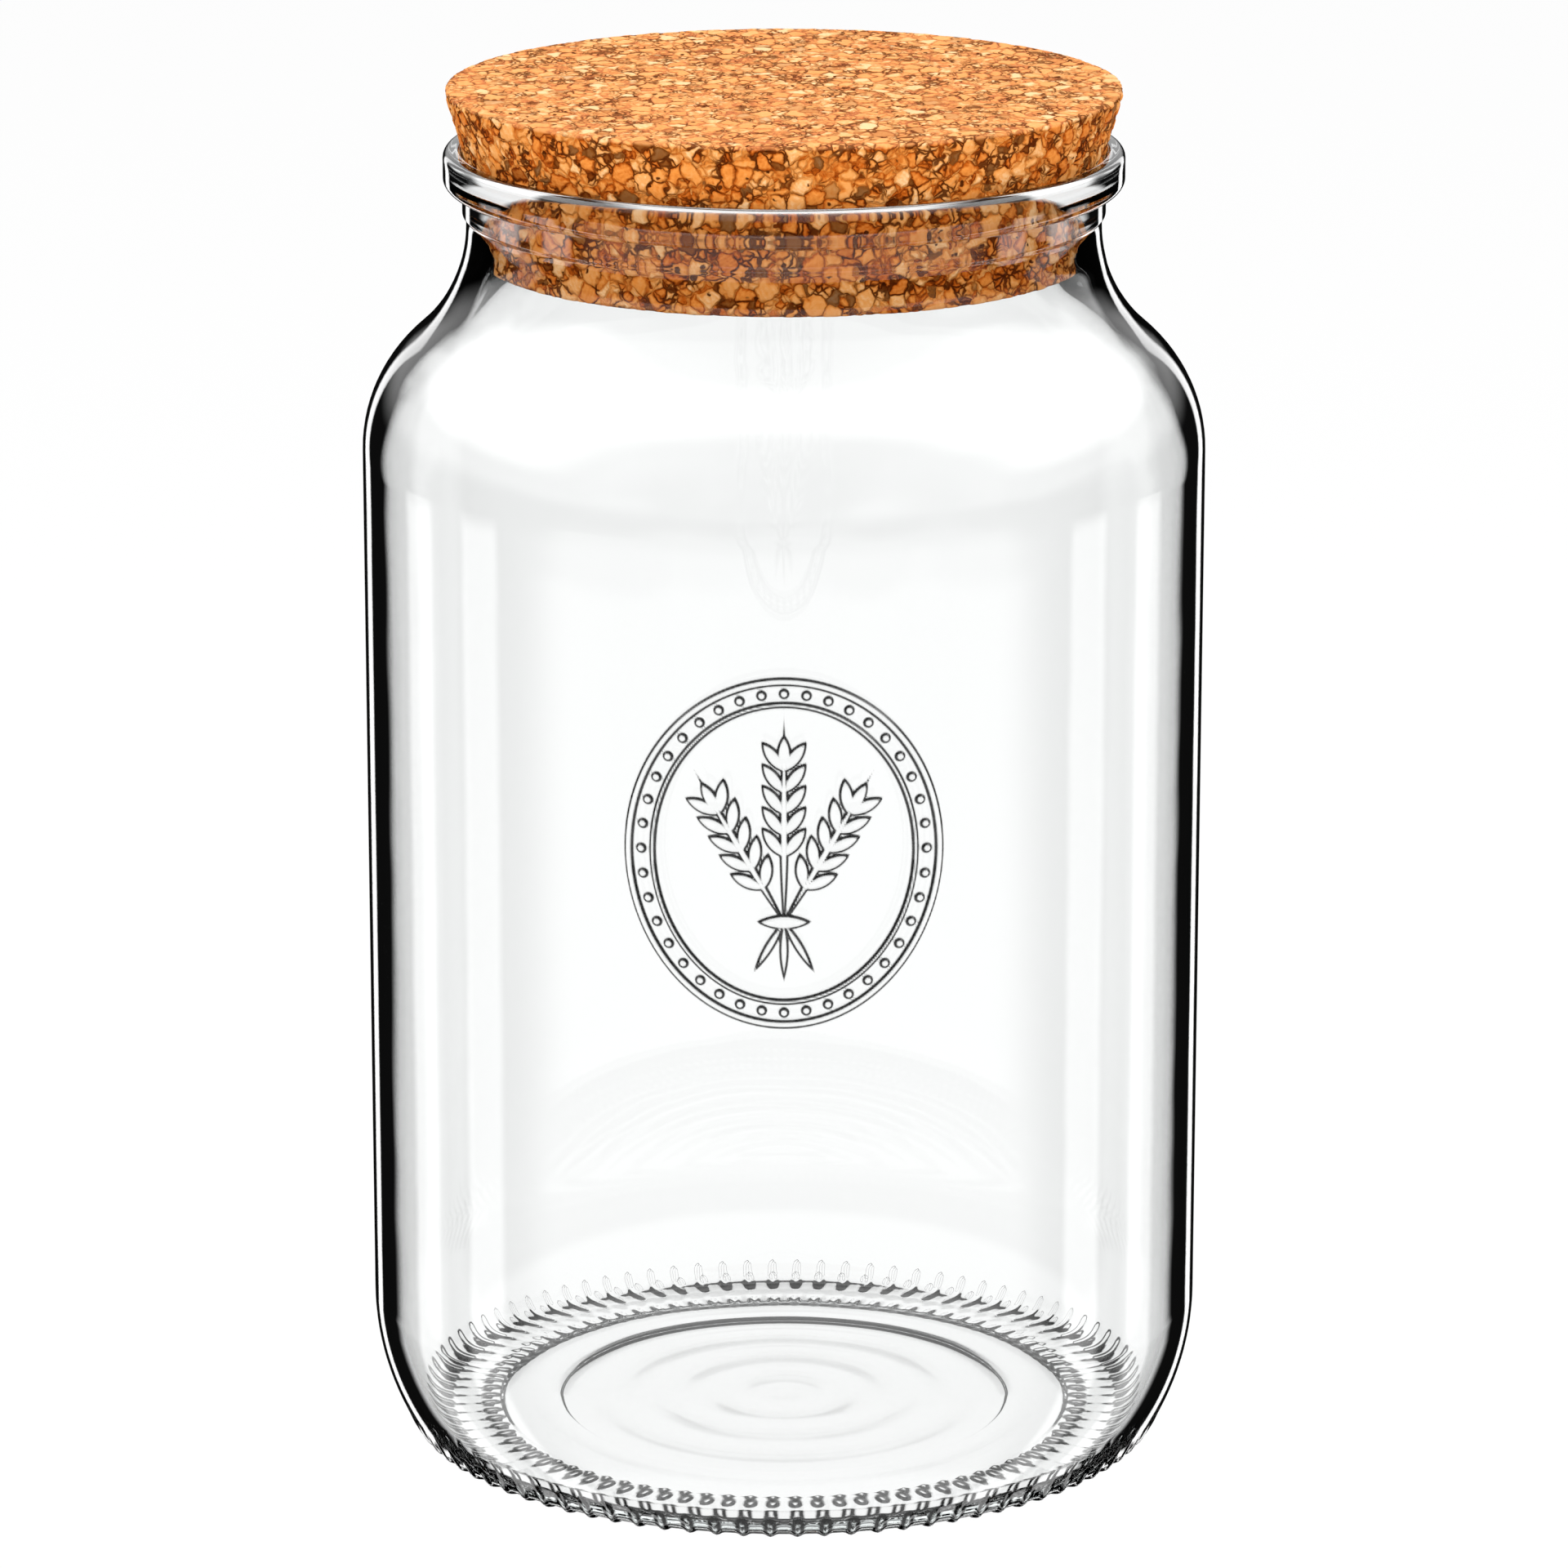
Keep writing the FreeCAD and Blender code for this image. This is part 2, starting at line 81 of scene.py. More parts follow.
class Outline:
    def __init__(self, name, radius, height):
        bpy.ops.object.select_all(action="DESELECT")
        bpy.ops.mesh.primitive_plane_add(size=MM)
        self.piece = bpy.context.object
        self.piece.name = self.piece.data.name = name
        bpy.ops.object.mode_set(mode="EDIT")
        bpy.ops.mesh.select_mode(type="VERT")
        bpy.ops.mesh.select_all(action="SELECT")
        bpy.ops.mesh.merge(type="CENTER")
        self.radius = self.height = 0
        bpy.ops.transform.translate(value=self.move_to(radius, height))

    def move_to(self, radius, height):
        move = ((radius - self.radius) * MM, 0, (height - self.height) * MM)
        self.radius, self.height = radius, height
        return move

    def step_to(self, radius, height):
        bpy.ops.mesh.extrude_region_move(TRANSFORM_OT_translate={"value": self.move_to(radius, height)})

    def line_to(self, radius, height, steps=1):
        start = (self.radius, self.height)
        for step in range(1, steps + 1):
            share = step / steps
            self.step_to(start[0] + share * (radius - start[0]), start[1] + share * (height - start[1]))

    def arc_to(self, radius, height, centre_radius, centre_height, steps, squash=1):
        """The short way round a centre, with heights squashed for a quarter of an ellipse."""
        first = math.atan2((self.height - centre_height) / squash, self.radius - centre_radius)
        last = math.atan2((height - centre_height) / squash, radius - centre_radius)
        turn = (last - first + math.pi) % (2 * math.pi) - math.pi
        reach = math.hypot(radius - centre_radius, (height - centre_height) / squash)
        for step in range(1, steps + 1):
            angle = first + turn * step / steps
            across, rise = reach * math.cos(angle), reach * squash * math.sin(angle)
            self.step_to(centre_radius + across, centre_height + rise)

    def s_curve_to(self, radius, height, steps):
        """Two equal arcs between two upright walls."""
        low = (self.radius, self.height)
        width, rise = radius - low[0], height - low[1]
        arc_radius = (width * width + rise * rise) / (4 * width)
        self.arc_to(low[0] + width / 2, low[1] + rise / 2, low[0] + arc_radius, low[1], steps // 2)
        self.arc_to(radius, height, radius - arc_radius, height, steps // 2)

    def corner_to(self, corner, following, reach, steps=4):
        """A line that stops short of a corner, then a rounded turn towards the following point."""
        before = np.subtract((self.radius, self.height), corner)
        after = np.subtract(following, corner)
        start = np.add(corner, before / np.linalg.norm(before) * reach)
        end = np.add(corner, after / np.linalg.norm(after) * reach)
        self.step_to(*start)
        for step in range(1, steps + 1):
            share = step / steps
            bend = np.multiply(corner, 2 * share * (1 - share))
            self.step_to(*(start * (1 - share) ** 2 + bend + end * share ** 2))

    def spin(self, columns):
        """Turn the outline into a closed round piece with its faces outwards."""
        bpy.ops.mesh.select_all(action="SELECT")
        bpy.ops.mesh.spin(steps=columns, angle=2 * math.pi, center=(0, 0, 0), axis=(0, 0, 1))
        bpy.ops.mesh.select_all(action="SELECT")
        bpy.ops.mesh.remove_doubles(threshold=SAME_PLACE)
        bpy.ops.mesh.normals_make_consistent(inside=False)
        bpy.ops.object.mode_set(mode="OBJECT")
        bpy.ops.object.shade_smooth()
        print(self.piece.name, "spun to", len(self.piece.data.polygons), "faces")
        return self.piece


# %% [markdown]
# ## The jar's glass
# The jar is one closed skin of glass: up the outside, over the lip and down the inside.
# Both sides have to be there, because light bends at each of them, and the dark edges of real glass come from
# that. The glass is thinner at the neck, where the cork fills nearly the whole width.
# The sizes repeat the CAD model's. Corners that are sharp there are drawn here with a small rounding, as hot
# glass leaves the mould.

# %% Sizes of the jar
BODY_RADIUS, WALL, NECK_WALL = 77.5, 4.2, 2.4
FLOOR_HEIGHT, FLOOR_CORNER = 3.6, 7.0
BODY_TOP, HEEL_TOP = 188.3, 26.25
NECK_BOTTOM, NECK_RADIUS = 230.3, 58.035
RING_BOTTOM, RING_RADIUS, RING_SLOPE = 232.2, 58.735, 0.7
RIM_BOTTOM, RIM_WALL_BOTTOM, RIM_RADIUS = 236.6, 238.8, 62.2
JAR_TOP, MOUTH_RADIUS = 244.0, 59.05
TAPER, PLUG_TAPER = math.tan(math.radians(15.8)), math.tan(math.radians(5))
STEP_HEIGHT = 236.0
STEP_RADIUS = MOUTH_RADIUS - TAPER * (JAR_TOP - STEP_HEIGHT)
SEAT_RADIUS, SEAT_HEIGHT = 56.2, 232.6
BORE_RADIUS = NECK_RADIUS - NECK_WALL
BORE_TOP = SEAT_HEIGHT - (SEAT_RADIUS - BORE_RADIUS) / PLUG_TAPER
INNER_BODY_TOP = BODY_TOP - WALL * (BODY_RADIUS - NECK_RADIUS) / (NECK_BOTTOM - BODY_TOP)
HEEL_CENTRE, HEEL_RADIUS = (30.8, HEEL_TOP), 46.7
FOOT_LEVEL, FOOT_OUTER, FOOT_INNER = 0.55, 67.35, 54.6
HEEL_CORNER, HEEL_JOINT = (FOOT_OUTER, 4.95), (71.149, 2.731)
print("bore radius", round(BORE_RADIUS, 2), "from height", round(BORE_TOP, 2))

# %% Draw the underside and the foot
DISC_LEVEL, DISC_RADIUS, DISC_MARGIN, DISC_SLOPE = 1.5, 42.75, 2.5, 0.3
PUSH_UP_LEVEL, PUSH_UP_RADIUS, PUSH_UP_MARGIN = 1.2, 53.8, 2
INNER_BAR_ROOM = 3.6
EDGE_ROUNDING, FOOT_ROUNDING = 0.2, 0.3
push_up_edge, foot_edge = (PUSH_UP_RADIUS, PUSH_UP_LEVEL), (FOOT_INNER, FOOT_LEVEL)
disc_edge, disc_foot = (DISC_RADIUS - DISC_SLOPE, DISC_LEVEL), (DISC_RADIUS, PUSH_UP_LEVEL)
jar_line = Outline("jar_glass", 0, DISC_LEVEL)
jar_line.line_to(DISC_RADIUS - DISC_MARGIN, DISC_LEVEL, 8)
jar_line.corner_to(disc_edge, disc_foot, EDGE_ROUNDING, 2)
jar_line.corner_to(disc_foot, push_up_edge, EDGE_ROUNDING, 2)
jar_line.line_to(PUSH_UP_RADIUS - PUSH_UP_MARGIN, PUSH_UP_LEVEL, 3)
jar_line.corner_to(push_up_edge, foot_edge, FOOT_ROUNDING, 2)
jar_line.corner_to(foot_edge, (FOOT_OUTER, FOOT_LEVEL), FOOT_ROUNDING, 2)
jar_line.line_to(FOOT_INNER + INNER_BAR_ROOM, FOOT_LEVEL, 5)
jar_line.line_to(FOOT_OUTER, FOOT_LEVEL, 4)
jar_line.arc_to(*HEEL_JOINT, *HEEL_CORNER, 6)
STRIP_TOP = 5.6
strip_radius = HEEL_CENTRE[0] + math.sqrt(HEEL_RADIUS ** 2 - (HEEL_TOP - STRIP_TOP) ** 2)
jar_line.arc_to(strip_radius, STRIP_TOP, *HEEL_CENTRE, 3)
print("foot drawn to height", STRIP_TOP)

# %% Draw the heel, the body and the shoulder
EMBLEM_MIDDLE, EMBLEM_REACH, EMBLEM_ROWS = 132.0, 34.0, 24
jar_line.arc_to(BODY_RADIUS, HEEL_TOP, *HEEL_CENTRE, 12)
jar_line.line_to(BODY_RADIUS, EMBLEM_MIDDLE - EMBLEM_REACH, 6)
jar_line.line_to(BODY_RADIUS, EMBLEM_MIDDLE + EMBLEM_REACH, EMBLEM_ROWS)
jar_line.line_to(BODY_RADIUS, BODY_TOP, 3)
jar_line.s_curve_to(NECK_RADIUS, NECK_BOTTOM, 28)
print("outside drawn to height", NECK_BOTTOM)

# %% Draw the neck ring, the rim and the lip
UNDER_RIM_ROUNDING, LIP_ROUNDING, MOUTH_ROUNDING = 0.35, 1.6, 0.75
ring_foot, ring_top = (RING_RADIUS, RING_BOTTOM), (RING_RADIUS, RIM_BOTTOM)
jar_line.corner_to((NECK_RADIUS, RING_BOTTOM - RING_SLOPE), ring_foot, EDGE_ROUNDING, 2)
jar_line.corner_to(ring_foot, ring_top, EDGE_ROUNDING, 2)
jar_line.corner_to(ring_top, (RIM_RADIUS, RIM_BOTTOM), UNDER_RIM_ROUNDING, 3)
squash = (RIM_WALL_BOTTOM - RIM_BOTTOM) / (RIM_RADIUS - jar_line.radius)
jar_line.arc_to(RIM_RADIUS, RIM_WALL_BOTTOM, jar_line.radius, RIM_WALL_BOTTOM, 10, squash)
lip_radius, lip_height = RIM_RADIUS - LIP_ROUNDING, JAR_TOP - LIP_ROUNDING
jar_line.line_to(RIM_RADIUS, lip_height, 3)
jar_line.arc_to(lip_radius, JAR_TOP, lip_radius, lip_height, 6)
jar_line.corner_to((MOUTH_RADIUS, JAR_TOP), (STEP_RADIUS, STEP_HEIGHT), MOUTH_ROUNDING)
print("lip drawn to radius", round(jar_line.radius, 2))

# %% Draw the inside, with faint ripples in the floor, and spin
SEAT_ROUNDING = 1.6
seat = (SEAT_RADIUS, SEAT_HEIGHT)
jar_line.corner_to((STEP_RADIUS, STEP_HEIGHT), seat, SEAT_ROUNDING, 4)
jar_line.corner_to(seat, (BORE_RADIUS, BORE_TOP), SEAT_ROUNDING, 4)
jar_line.line_to(BORE_RADIUS, BORE_TOP, 3)
jar_line.s_curve_to(BODY_RADIUS - WALL, INNER_BODY_TOP, 26)
jar_line.line_to(BODY_RADIUS - WALL, HEEL_TOP, 8)
side_reach = BODY_RADIUS - HEEL_CENTRE[0] - WALL
corner_rise = HEEL_TOP - FLOOR_HEIGHT - FLOOR_CORNER
corner_across = math.sqrt((side_reach - FLOOR_CORNER) ** 2 - corner_rise ** 2)
stretch = side_reach / (side_reach - FLOOR_CORNER)
inner_joint = (HEEL_CENTRE[0] + corner_across * stretch, HEEL_TOP - corner_rise * stretch)
floor_edge = HEEL_CENTRE[0] + corner_across
jar_line.arc_to(*inner_joint, *HEEL_CENTRE, 6)
jar_line.arc_to(floor_edge, FLOOR_HEIGHT, floor_edge, FLOOR_HEIGHT + FLOOR_CORNER, 10)
RIPPLE_HEIGHT, RIPPLE_PITCH, RIPPLE_STEPS = 0.16, 11.0, 30
CALM_EDGE, CALM_MIDDLE = 6, 8
for radius in np.linspace(floor_edge, 0, RIPPLE_STEPS + 1)[1:]:
    calm = min(1, (floor_edge - radius) / CALM_EDGE) * min(1, radius / CALM_MIDDLE)
    ripple = RIPPLE_HEIGHT * calm * math.cos(2 * math.pi * radius / RIPPLE_PITCH)
    jar_line.step_to(radius, FLOOR_HEIGHT + ripple)
SPIN_COLUMNS, COLUMNS = 88, 176
jar = jar_line.spin(SPIN_COLUMNS)

# %% [markdown]
# ## Moulding on the glass
# Two rings of short bars under the foot and an emblem on the front stand about half a millimetre proud.
# They could be separate solids joined on, but the mould makes them one skin with the jar.
# So the mesh is subdivided where they are, each point gets a weight that says how far it is raised, and a
# Displace modifier raises it. The same step notes where the moulding's flanks are, for the painted shade of
# the glass finish.


# %% Helpers to select and round
def read(items, field, width=3):
    values = np.empty(len(items) * width, dtype=np.float32)
    items.foreach_get(field, values)
    return values.reshape(-1, width).astype(float)


def select(piece, kind, chosen):
    """Select only the chosen edges or faces, and go into edit mode."""
    bpy.ops.object.select_all(action="DESELECT")
    piece.select_set(True)
    bpy.context.view_layer.objects.active = piece
    bpy.ops.object.mode_set(mode="EDIT")
    bpy.ops.mesh.select_mode(type=kind)
    bpy.ops.mesh.select_all(action="DESELECT")
    bpy.ops.object.mode_set(mode="OBJECT")
    items = piece.data.edges if kind == "EDGE" else piece.data.polygons
    items.foreach_set("select", chosen)
    bpy.ops.object.mode_set(mode="EDIT")


def subdivide(piece, cuts, columns):
    """Cut what is selected, and move the new points from the flat facets out to the round."""
    bpy.ops.mesh.subdivide(number_cuts=cuts)
    bpy.ops.object.mode_set(mode="OBJECT")
    points = read(piece.data.vertices, "co")
    facet = 2 * math.pi / columns
    angle = np.arctan2(points[:, 1], points[:, 0])
    off_middle = angle - (np.floor(angle / facet + 1e-6) + 0.5) * facet
    points[:, :2] *= (np.cos(off_middle) / math.cos(facet / 2))[:, None]
    piece.data.vertices.foreach_set("co", points.astype(np.float32).ravel())
    piece.data.update()
    print(piece.name, "now has", len(piece.data.vertices), "points")


def ring_edges(piece):
    """Which edges run round the axis, with each edge's radius and height in millimetres."""
    ends = read(piece.data.vertices, "co")[read(piece.data.edges, "vertices", 2).astype(int)] / MM
    radii = np.hypot(ends[:, :, 0], ends[:, :, 1])
    level = np.abs(ends[:, 0, 2] - ends[:, 1, 2]) < 0.001
    round_axis = level & (np.abs(radii[:, 0] - radii[:, 1]) < 0.001)
    return round_axis, radii.mean(axis=1), ends[:, :, 2].mean(axis=1)


# %% Make the jar rounder
select(jar, "EDGE", ring_edges(jar)[0])
subdivide(jar, 1, SPIN_COLUMNS)

# %% A helper to raise
OUTLINE_REACH, WEIGHT_LEVELS = 3.0, 64


def raise_moulding(piece, weights, distance, height):
    """Raise points by their weight, and keep the distance to the moulding's outline on the mesh."""
    group = piece.vertex_groups.new(name="moulding")
    for level in range(1, WEIGHT_LEVELS + 1):
        chosen = np.flatnonzero(np.round(weights * WEIGHT_LEVELS) == level)
        if len(chosen):
            group.add(chosen.tolist(), level / WEIGHT_LEVELS, "REPLACE")
    raiser = piece.modifiers.new("raise", "DISPLACE")
    raiser.vertex_group = group.name
    raiser.strength = height * MM
    raiser.mid_level = 0
    bpy.context.view_layer.objects.active = piece
    bpy.ops.object.modifier_apply(modifier=raiser.name)
    piece.vertex_groups.clear()
    record = piece.data.attributes.get("to_outline")
    if record is None:
        record = piece.data.attributes.new("to_outline", "FLOAT", "POINT")
        record.data.foreach_set("value", np.full(len(weights), OUTLINE_REACH, dtype=np.float32))
    nearest = read(record.data, "value", 1).ravel()
    nearest = np.where(np.abs(distance) < np.abs(nearest), distance, nearest)
    record.data.foreach_set("value", nearest.astype(np.float32))
    print(piece.name, "raised", int((weights > 0).sum()), "points")


# %% The bars under the foot
BAR_COUNT, BAR_HALF_WIDTH, BAR_SLOPE, BAR_TOP = 88, 0.85, 1.4, 4.8
INNER_ENDS, BAR_START = (55.0, 58.0), 64.4
RELIEF, FOOT_AND_HEEL, HEEL_SHARE, FAR = 0.55, (1.2, 2.4), 0.3, 9
BACK_AND_SIDE = (-0.6, -0.15)
BAR_LINE, LINE_SHARPNESS, FAINTEST = 0.8, 0.5, 0.05
on_ring, edge_radius, edge_height = ring_edges(jar)
select(jar, "EDGE", on_ring & (edge_height < STRIP_TOP + 0.01) & (edge_radius > FOOT_INNER - 0.1))
subdivide(jar, 4, COLUMNS)

points = read(jar.data.vertices, "co") / MM
radius = np.hypot(points[:, 0], points[:, 1])
turn = np.arctan2(points[:, 1], points[:, 0]) * BAR_COUNT / (2 * math.pi)
aside = (turn - np.floor(turn) - 0.5) * 2 * math.pi / BAR_COUNT * radius
from_bar_end = np.minimum(radius - BAR_START, BAR_TOP - points[:, 2])
from_inner_end = np.minimum(radius - INNER_ENDS[0], INNER_ENDS[1] - radius)
from_end = np.maximum(from_bar_end, from_inner_end)
from_spine = np.hypot(aside, np.maximum(BAR_HALF_WIDTH - from_end, 0))
from_spine[(radius < FOOT_INNER) | (points[:, 2] > STRIP_TOP)] = FAR
bar_height = 0.5 + 0.5 * np.cos(np.pi * np.clip(from_spine / BAR_SLOPE, 0, 1))
bar_height *= np.interp(points[:, 2], FOOT_AND_HEEL, (1, HEEL_SHARE))
# Painted shade on the bars' flanks: full at the front and sides, fading out towards the back, where the
# painted line grows too thin to show.
painted_shade_share = np.maximum(np.interp(-points[:, 1] / radius, BACK_AND_SIDE, (0, 1)), FAINTEST)
raise_moulding(jar, bar_height, (from_spine - BAR_LINE) * LINE_SHARPNESS / painted_shade_share, RELIEF)

# %% [markdown]
# ## The emblem
# The front carries a raised oval with a beaded border and a sheaf of wheat, a plain sign for dry food.
# It could be carved with Booleans, but weights keep the glass one smooth skin.
# Each shape is a distance to its outline, negative inside, and the nearest shape decides how high a point
# stands.


# %% Distances to the emblem's shapes
def to_oval(across, up, half_width, half_height):
    scaled = np.hypot(across / half_width, up / half_height)
    slope = np.hypot(across / half_width ** 2, up / half_height ** 2) / np.maximum(scaled, 1e-6)
    return (scaled - 1) / np.maximum(slope, 1e-6)


def to_oval_line(across, up, half_width, half_height, line_width):
    outer = to_oval(across, up, half_width, half_height)
    inner = to_oval(across, up, half_width - line_width, half_height - line_width)
    return np.maximum(outer, -inner)


def to_almond(across, up, foot, lean, length, width):
    """A pointed shape between two arcs, from its foot along a direction that leans from upright."""
    along = np.array((math.sin(lean), math.cos(lean)))
    aside = np.array((along[1], -along[0]))
    bow = (length * length + width * width) / (4 * width)
    middle = np.add(foot, along * length / 2)
    sides = [middle + aside * side * (bow - width / 2) for side in (1, -1)]
    return np.maximum(*(np.hypot(across - side[0], up - side[1]) - bow for side in sides))


# %% Shape of an ear of wheat
GRAIN, GRAIN_PITCH, GRAIN_PAIRS, GRAIN_LEAN = (6.4, 2.2), 3.9, 5, math.radians(36)
STEM_WIDTH = 1.3


def to_ear(across, up, foot, lean, length):
    """A stem, pairs of grains that lean out from it, and a grain at its tip."""
    along = np.array((math.sin(lean), math.cos(lean)))
    top_foot = foot + along * (length - GRAIN[0])
    yield to_almond(across, up, foot, lean, length, STEM_WIDTH)
    yield to_almond(across, up, top_foot, lean, *GRAIN)
    for pair in range(GRAIN_PAIRS):
        for side in (1, -1):
            pair_foot = top_foot - along * GRAIN_PITCH * pair
            yield to_almond(across, up, pair_foot, lean + side * GRAIN_LEAN, *GRAIN)


# %% Shapes of the sheaf and its border
OVALS = ((28, 32, 1.2), (23.6, 27.6, 0.8))
BEAD_OVAL, BEAD_COUNT, BEAD_RADIUS = (25.2, 29.2), 40, 0.75
TIE_DROP, TIE_LENGTH, TIE_WIDTH = 12.5, 9.0, 2.4
EAR_LEAN, MIDDLE_EAR, SIDE_EAR, TAIL = math.radians(30), 34, 29, 10


def emblem_distance(across, up):
    shapes = [to_oval_line(across, up, *oval) for oval in OVALS]
    for bead in np.linspace(0, 2 * math.pi, BEAD_COUNT, endpoint=False):
        place = BEAD_OVAL[0] * math.sin(bead), BEAD_OVAL[1] * math.cos(bead)
        shapes.append(np.hypot(across - place[0], up - place[1]) - BEAD_RADIUS)
    tie = np.array((0, -TIE_DROP))
    shapes.append(to_almond(across, up, tie - (TIE_LENGTH / 2, 0), math.pi / 2, TIE_LENGTH, TIE_WIDTH))
    for side in (-1, 0, 1):
        lean = side * EAR_LEAN
        shapes += to_ear(across, up, tie, lean, SIDE_EAR if side else MIDDLE_EAR)
        shapes.append(to_almond(across, up, tie, math.pi + lean, TAIL, STEM_WIDTH))
    return np.minimum.reduce(shapes)


# %% Raise the emblem
PATCH_COLUMNS, PATCH_CUTS = 11, 7
FLANK_FOOT, FLANK_WIDTH = 0.2, 0.5
centres = read(jar.data.polygons, "center") / MM
patch_angle = PATCH_COLUMNS * 360 / COLUMNS
bearing = np.degrees(np.arctan2(centres[:, 0], -centres[:, 1]))
outside = np.hypot(centres[:, 0], centres[:, 1]) > BODY_RADIUS - 1
in_height = np.abs(centres[:, 2] - EMBLEM_MIDDLE) < EMBLEM_REACH
select(jar, "FACE", outside & (np.abs(bearing) < patch_angle) & in_height)
subdivide(jar, PATCH_CUTS, COLUMNS)

points = read(jar.data.vertices, "co") / MM
distance = emblem_distance(points[:, 0], points[:, 2] - EMBLEM_MIDDLE)
outside = np.hypot(points[:, 0], points[:, 1]) > BODY_RADIUS - 0.1
in_patch = outside & (points[:, 1] < 0) & (np.abs(points[:, 2] - EMBLEM_MIDDLE) < EMBLEM_REACH)
distance[~in_patch] = FAR
rise = np.clip((FLANK_FOOT - distance) / FLANK_WIDTH, 0, 1)
raise_moulding(jar, rise * rise * (3 - 2 * rise), distance, RELIEF)

# %% [markdown]
# ## Uneven glass
# The outside of a jar follows the mould, but the inside is blown, so its wall thickness drifts a little.
# That is why things behind real glass look slightly wavy. A cloudy Displace on the inner skin does the same.

# %% Wave the inner skin
LIMIT_HEIGHTS = (0, 3, 3.1, 8, 15, HEEL_TOP, BODY_TOP, NECK_BOTTOM, 300)
LIMIT_RADII = (0, 0, 65, 69.5, 73, 74.5, 74.5, 56, 0)
DRIFT, DRIFT_SIZE, BODY_DRIFT = 0.5 * MM, 0.035, 0.15
points = read(jar.data.vertices, "co") / MM
radius = np.hypot(points[:, 0], points[:, 1])
inner_limit = np.interp(points[:, 2], LIMIT_HEIGHTS, LIMIT_RADII)
inner = (radius < inner_limit) & (points[:, 2] > FLOOR_HEIGHT - 0.5) & (points[:, 2] < BORE_TOP - 3)
wave_group = jar.vertex_groups.new(name="inner")
wave_group.add(np.flatnonzero(inner & (points[:, 2] > INNER_BODY_TOP)).tolist(), 1.0, "REPLACE")
wave_group.add(np.flatnonzero(inner & (points[:, 2] <= INNER_BODY_TOP)).tolist(), BODY_DRIFT, "REPLACE")
clouds = bpy.data.textures.new("glass_drift", "CLOUDS")
clouds.noise_scale = DRIFT_SIZE
waver = jar.modifiers.new("drift", "DISPLACE")
waver.texture = clouds
waver.vertex_group = wave_group.name
waver.strength = DRIFT
bpy.ops.object.modifier_apply(modifier=waver.name)
jar.vertex_groups.clear()
bpy.data.textures.remove(clouds)
triangles = sum(len(face.vertices) - 2 for face in jar.data.polygons)
print("jar_glass has", triangles, "triangles, waved points", int(inner.sum()))
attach(jar, "jar")
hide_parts("glass_jar")

# %% [markdown]
# ## Node maths
# Every finish below is built from nodes. Drawn one by one they would fill pages, and as Python expressions
# they stay readable, so one small class wraps a socket and turns plus, minus, times and divide into Math
# nodes.


# %% A wire that does arithmetic
class Wire:
    def __init__(self, tree, socket=None):
        self.tree, self.socket = tree, socket

    def node(self, kind, settings=None, inputs=None, output=0):
        """Any node: its settings first, then the values or links of its sockets."""
        made = self.tree.nodes.new(kind)
        for name, value in (settings or {}).items():
            if name == "stops":
                ramp = made.color_ramp
                while len(ramp.elements) < len(value):
                    ramp.elements.new(1.0)
                for element, (place, colour) in zip(ramp.elements, value):
                    element.position, element.color = place, (*colour, 1)
            else:
                setattr(made, name, value)
        for name, value in (inputs or {}).items():
            if isinstance(value, Wire):
                self.tree.links.new(value.socket, made.inputs[name])
            else:
                made.inputs[name].default_value = value
        return Wire(self.tree, made.outputs[output]) if len(made.outputs) else made

    def maths(self, operation, *values):
        return self.node("ShaderNodeMath", {"operation": operation}, dict(enumerate(values)))

    def __add__(self, other):
        return self.maths("ADD", self, other)

    def __sub__(self, other):
        return self.maths("SUBTRACT", self, other)

    def __rsub__(self, other):
        return self.maths("SUBTRACT", other, self)

    def __mul__(self, other):
        return self.maths("MULTIPLY", self, other)

    def __truediv__(self, other):
        return self.maths("DIVIDE", self, other)

    def __rtruediv__(self, other):
        return self.maths("DIVIDE", other, self)

    __radd__, __rmul__ = __add__, __mul__

    def ease(self, low, high):
        """0 below low, 1 above high, smooth between. Swapped limits turn it round."""
        settings = {"interpolation_type": "SMOOTHSTEP"}
        limits = {"Value": self, "From Min": low, "From Max": high}
        return self.node("ShaderNodeMapRange", settings, limits)

    def blend(self, first, second):
        """Mix two colours by this wire."""
        return self.node("ShaderNodeMix", {"data_type": "RGBA"}, {0: self, 6: first, 7: second}, 2)


def new_finish(name):
    finish = bpy.data.materials.new(name)
    finish.use_nodes = True
    finish.node_tree.nodes.clear()
    return finish, Wire(finish.node_tree)


# %% [markdown]
# ## Clear glass
# Bottle glass lets nearly all light through and bends it, and has a faint grey-green tint where it is thick.
# The shader does the bending. A tinted surface would look the same everywhere, so absorption in the volume
# gives the tint, and thick parts are tinted more than thin ones.
# The flanks of the moulding turn light away, and the glass colour is painted near black on them as painted
# shade, so that the fine relief reads from any side.

# %% Glass finish
glass, wire = new_finish("clear_glass")
place = wire.node("ShaderNodeTexCoord", output="Object")
to_outline = wire.node("ShaderNodeAttribute", {"attribute_name": "to_outline"}, output="Fac")
PAINTED_SHADE_LINE = (0.4, 0.12)
CLEAR, FLANK_PAINTED_SHADE, GLASS_TINT = (0.995, 1.0, 0.998, 1), (0.001, 0.001, 0.001, 1), (0.8, 0.93, 0.92, 1)
